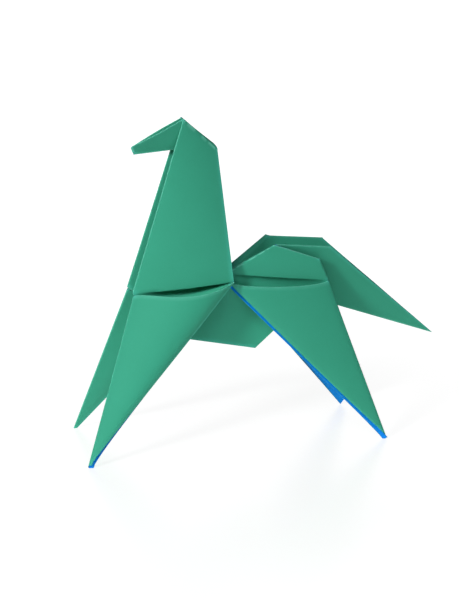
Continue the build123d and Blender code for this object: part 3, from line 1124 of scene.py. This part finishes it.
class PaperThickness:
    """Geometry Nodes tree that gives the folded middle surface its thickness, unevenness and materials."""

    NAME = "paper_thickness"
    SIZES = {"Thickness": 0.12 * MM, "Unevenness": 0.12 * MM, "Wave Count": 55.0}
    FACES = ("Green Face", "Blue Face", "Cut Edge")
    WAVE_DETAIL = 1.0
    NOISE_MIDDLE = (0.5, 0.5, 0.5)

    def build(self) -> Tree:
        """Build the tree.

        Returns:
            The tree, with named inputs for its sizes and materials.
        """
        outputs = {"Geometry": "NodeSocketGeometry"}
        inputs = outputs | dict.fromkeys(self.SIZES, FLOAT) | dict.fromkeys(self.FACES, "NodeSocketMaterial")
        tree = new_group(self.NAME, "GeometryNodeTree", inputs, outputs)
        bench = NodeBench(tree)
        entry = bench.add("NodeGroupInput").outputs
        sunk = self._sink(bench, entry["Thickness"], self._wave(bench, entry))
        thick = {"Mesh": sunk, "Offset Scale": entry["Thickness"], "Individual": False}
        raised = bench.add("GeometryNodeExtrudeMesh", thick, mode="FACES").outputs
        back = bench.add("GeometryNodeFlipFaces", {"Mesh": sunk}).outputs["Mesh"]
        both = bench.add("GeometryNodeJoinGeometry", {"Geometry": back})
        bench.feed(raised["Mesh"], both.inputs["Geometry"])
        joined = {"Geometry": both.outputs["Geometry"], "Distance": SKIN_WELD}
        welded = bench.add("GeometryNodeMergeByDistance", joined).outputs["Geometry"]
        shape = bench.add("GeometryNodeRealizeInstances", {"Geometry": welded}).outputs["Geometry"]
        outer, rim = raised["Top"], raised["Side"]
        inner = bench.add("FunctionNodeBooleanMath", {0: outer, 1: rim}, operation="NOR").outputs[0]
        for name, chosen in zip(self.FACES, (outer, inner, rim)):
            dress = {"Geometry": shape, "Selection": chosen, "Material": entry[name]}
            shape = bench.add("GeometryNodeSetMaterial", dress).outputs["Geometry"]
        bench.add("NodeGroupOutput", {"Geometry": shape})
        return tree

    def _wave(self, bench: NodeBench, entry: bpy.types.NodeOutputs) -> Socket:
        """Shift the sheet by a soft three-way noise, alike for layers that lie together."""
        noise = {"Scale": entry["Wave Count"], "Detail": self.WAVE_DETAIL}
        wave = bench.add("ShaderNodeTexNoise", noise).outputs["Color"]
        centred = bench.add("ShaderNodeVectorMath", {0: wave, 1: self.NOISE_MIDDLE}, operation="SUBTRACT")
        return self._move(bench, entry["Geometry"], centred.outputs[0], entry["Unevenness"])

    def _sink(self, bench: NodeBench, thickness: Socket, shape: Socket) -> Socket:
        """Sink the surface by half of the thickness, so that the sheet lies evenly about it."""
        normal = bench.add("GeometryNodeInputNormal").outputs[0]
        return self._move(bench, shape, normal, bench.math("MULTIPLY", thickness, -0.5))

    def _move(self, bench: NodeBench, shape: Socket, way: Socket, reach: Socket) -> Socket:
        """Move each point of a shape along its own direction, by a reach."""
        step = bench.add("ShaderNodeVectorMath", {0: way, "Scale": reach}, operation="SCALE").outputs[0]
        return bench.add("GeometryNodeSetPosition", {"Geometry": shape, "Offset": step}).outputs["Geometry"]

    def apply(self, sheet: bpy.types.Object, faces: list[bpy.types.Material]) -> None:
        """Give a sheet its thickness and keep the result as its plain mesh.

        Args:
            sheet: Object that holds the middle surface.
            faces: Materials of the green face, the blue face and the cut edge.
        """
        tree = self.build()
        modifier = sheet.modifiers.new(self.NAME, "NODES")
        modifier.node_group = tree
        values = {**self.SIZES, **dict(zip(self.FACES, faces))}
        for item in tree.interface.items_tree:
            if item.in_out == "INPUT" and item.name in values:
                modifier[item.identifier] = values[item.name]
        graph = bpy.context.evaluated_depsgraph_get()
        mesh = bpy.data.meshes.new_from_object(sheet.evaluated_get(graph))
        sheet.modifiers.clear()
        sheet.data = mesh


@dataclass
class PaperHorse:
    """The whole folded sheet, built from its parts and dressed as one piece."""

    plan: FoldPlan = field(default_factory=FoldPlan)
    trunk: Trunk = Trunk()
    neck: Neck = Neck()
    rump: Rump = Rump()
    legs: tuple[Leg, ...] = LEGS
    # How far the painted highlight spreads from a fold, and the painted light from a cut edge
    highlight_reach: float = 0.17 * MM
    rim_reach: float = 0.9 * MM
    sharp_angle: float = math.radians(50)

    def build(self) -> bpy.types.Object:
        """Fold the sheet, give it thickness, dress it and return the finished piece."""
        sheet = SheetMesh()
        for part in (self.trunk, self.neck, self.rump, *self.legs):
            part.build(self.plan, sheet)
        bmesh.ops.translate(sheet.bm, verts=sheet.bm.verts, vec=-self.plan.stand)
        piece = sheet.finish("paper_horse", self.highlight_reach, self.rim_reach)
        self.dress(piece)
        return piece

    def dress(self, piece: bpy.types.Object) -> None:
        """Give the sheet its thickness, its two faces and its cut edge, and tie it to the frame."""
        grain = PaperGrain().build()
        # Shader group of the painted highlight along the folds and the painted light along the cut edges
        wear = PaintedHighlights().build()
        faces = [finish.build(grain, wear) for finish in (GREEN_FACE, BLUE_FACE, CUT_EDGE)]
        PaperThickness().apply(piece, faces)
        piece.data.set_sharp_from_angle(angle=self.sharp_angle)
        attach(piece, "root")
        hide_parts(NODE)


def look_back(azimuth: float, elevation: float) -> Vector:
    """Unit direction from the horse to a viewer, at angles in degrees from the front of its near side."""
    a, e = math.radians(azimuth), math.radians(elevation)
    return Vector((math.sin(a) * math.cos(e), -math.cos(a) * math.cos(e), math.sin(e)))


def stand_back(thing: bpy.types.Object, target: Vector, back: Vector, distance: float) -> None:
    """Place a lamp or camera back from a target, and turn it to look there."""
    thing.location = target + back * distance
    thing.rotation_euler = back.to_track_quat("Z", "Y").to_euler()


@dataclass(frozen=True)
class Lamp:
    """Square area lamp that looks at a point of the horse from a direction, its beam fading to the sides."""

    name: str
    azimuth: float
    elevation: float
    distance: float
    size: float
    power: float
    spread: float
    target: tuple[float, float, float]

    def build(self) -> None:
        """Make the lamp."""
        data = bpy.data.lights.new(self.name, "AREA")
        data.size = self.size
        data.energy = self.power
        data.spread = math.radians(self.spread)
        back = look_back(self.azimuth, self.elevation)
        stand_back(put(self.name, data), Vector(self.target), back, self.distance)
        log.info("lamp %s", self.name)


KEY_LIGHT = Lamp(
    "key_light", azimuth=-62.0, elevation=32.0, distance=0.5,
    size=0.08, power=0.19, spread=60.0, target=(-0.03, -0.005, 0.03),
)
FILL_LIGHT = Lamp(
    "fill_light", azimuth=-25.0, elevation=50.0, distance=1.2,
    size=0.6, power=4.5, spread=180.0, target=(0.0, 0.0, 0.04),
)


@dataclass(frozen=True)
class Studio:
    """Pale floor, soft light and the camera at the photograph's viewing angle.

    The floor's tone, gloss and glow differ for the rays that the camera sends. So the picture shows it white
    with a faint shadow and reflection, while it lights the horse from below as a pale table would.
    """

    floor_half: float = 3.0
    floor_tone: float = 0.9
    seen_tone: float = 0.2
    floor_gloss: float = 0.4
    seen_gloss: float = 1.0
    floor_rough: float = 0.3
    floor_glow: float = 0.91
    glow_dip: float = 0.13
    bounce: float = 0.5
    bounce_reach: float = 130 * MM
    ambient: float = 0.08
    backdrop: float = 1.0
    camera_azimuth: float = -14.31
    camera_elevation: float = 20.93
    camera_distance: float = 662 * MM
    camera_right: float = 0.82 * MM
    camera_up: float = -7.0 * MM
    camera_clip: float = 10 * MM
    aim_height: float = 51 * MM
    focal_pixels: float = 2106.0
    image_height: int = 612
    sensor: float = 36.0
    lamps: tuple[Lamp, ...] = (KEY_LIGHT, FILL_LIGHT)

    def build(self, stand: Vector) -> None:
        """Make floor, world, lamps and camera; stand is the point of the fold's frame that is the origin."""
        self.floor()
        self.world()
        for lamp in self.lamps:
            lamp.build()
        self.camera(stand)
        bpy.context.scene.view_settings.view_transform = "Standard"

    def floor(self) -> None:
        """Add the white floor, which keeps the shadow and a faint reflection of the horse."""
        half = self.floor_half
        mesh = bpy.data.meshes.new("floor")
        corners = [(-half, -half, 0), (half, -half, 0), (half, half, 0), (-half, half, 0)]
        mesh.from_pydata(corners, [], [(0, 1, 2, 3)])
        mesh.materials.append(self._floor_material())
        floor = put("floor", mesh)
        log.info("floor")

    def _floor_material(self) -> bpy.types.Material:
        """Material of the floor."""
        material = bpy.data.materials.new("floor_white")
        material.use_nodes = True
        bench = NodeBench(material.node_tree)
        rays = bench.add("ShaderNodeLightPath").outputs
        eye = rays["Is Camera Ray"]
        seen = bench.math("MAXIMUM", eye, rays["Is Glossy Ray"])
        near = self._near(bench)
        hidden_glow = bench.math("MULTIPLY", near, self.bounce)
        seen_glow = bench.math("MULTIPLY_ADD", near, -self.glow_dip, self.floor_glow)
        glow = bench.math("MULTIPLY_ADD", seen, bench.math("SUBTRACT", seen_glow, hidden_glow), hidden_glow)
        look = {
            "Base Color": bench.choose(eye, self.floor_tone, self.seen_tone),
            "Specular IOR Level": bench.choose(eye, self.floor_gloss, self.seen_gloss),
            "Roughness": self.floor_rough,
            "Emission Color": (1, 1, 1, 1),
            "Emission Strength": glow,
        }
        shader = bench.add("ShaderNodeBsdfPrincipled", look)
        bench.add("ShaderNodeOutputMaterial", {"Surface": shader.outputs["BSDF"]})
        return material

    def _near(self, bench: NodeBench) -> Socket:
        """How near a place of the floor is to the horse, from 1 below it to 0 far away."""
        place = bench.add("ShaderNodeTexCoord").outputs["Object"]
        far = bench.add("ShaderNodeVectorMath", {0: place}, operation="LENGTH").outputs["Value"]
        share = bench.math("DIVIDE", far, self.bounce_reach)
        square = bench.math("MULTIPLY", share, share)
        return bench.math("EXPONENT", bench.math("MULTIPLY", square, -1))

    def world(self) -> None:
        """Light the scene softly from all around, with a white background for the camera and reflections."""
        world = bpy.data.worlds.new("studio")
        bpy.context.scene.world = world
        world.use_nodes = True
        bench = NodeBench(world.node_tree)
        rays = bench.add("ShaderNodeLightPath").outputs
        seen = bench.math("MAXIMUM", rays["Is Camera Ray"], rays["Is Glossy Ray"])
        seen = bench.math("MAXIMUM", seen, rays["Is Transmission Ray"])
        strength = bench.choose(seen, self.ambient, self.backdrop)
        light = bench.add("ShaderNodeBackground", {"Strength": strength})
        bench.add("ShaderNodeOutputWorld", {"Surface": light.outputs["Background"]})

    def camera(self, stand: Vector) -> None:
        """Add the camera, as the photograph's outlines place it."""
        data = bpy.data.cameras.new("camera")
        data.sensor_fit = "AUTO"
        data.sensor_width = self.sensor
        data.lens = self.focal_pixels / self.image_height * self.sensor
        data.clip_start = self.camera_clip
        camera = put("camera", data)
        back = look_back(self.camera_azimuth, self.camera_elevation)
        turn = math.radians(self.camera_azimuth)
        right = Vector((math.cos(turn), math.sin(turn), 0))
        up = back.cross(right)
        aim = Vector((0, 0, self.aim_height)) + right * self.camera_right + up * self.camera_up - stand
        stand_back(camera, aim, back, self.camera_distance)
        bpy.context.scene.camera = camera


def main() -> None:
    """Fold and dress the horse, set up the studio and report each piece."""
    logging.basicConfig(level=logging.INFO, format="%(name)s: %(message)s")
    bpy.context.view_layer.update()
    horse = PaperHorse()
    piece = horse.build()
    log.info("piece %s: %d faces", piece.name, len(piece.data.polygons))
    Studio().build(horse.plan.stand)


if __name__ == "__main__":
    main()
